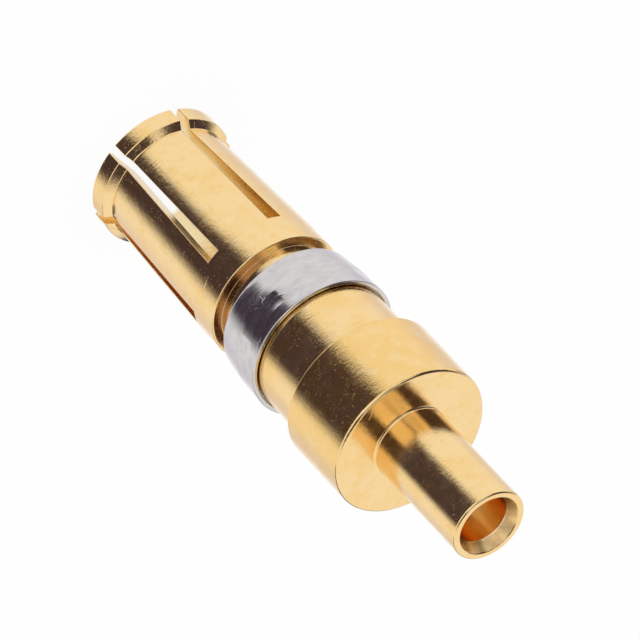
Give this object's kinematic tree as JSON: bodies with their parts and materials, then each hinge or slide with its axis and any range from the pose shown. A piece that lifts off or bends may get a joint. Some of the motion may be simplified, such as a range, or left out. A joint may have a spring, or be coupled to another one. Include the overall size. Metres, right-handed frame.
{
  "type": "power socket contact",
  "caption": "Turned gold-plated power socket contact with slotted spring fingers, a split steel retention ring in a groove, a collar and a solder barrel for the wire.",
  "frame": {"origin": "on the axis, at the plane of the socket mouth that the contact stands on", "axes": "+Z along the axis, from the socket mouth up to the open end of the solder barrel; one finger slot opens towards +X and the ring's slit faces +Y"},
  "size_m": [0.0062, 0.0062, 0.0219],
  "materials": {
    "gold_plating": "gold plated, fine satin",
    "spring_steel": "satin sheet"
  },
  "bodies": {
    "root": {"contact_body": "gold_plating", "retention_ring": "spring_steel"}
  },
  "joints": []
}
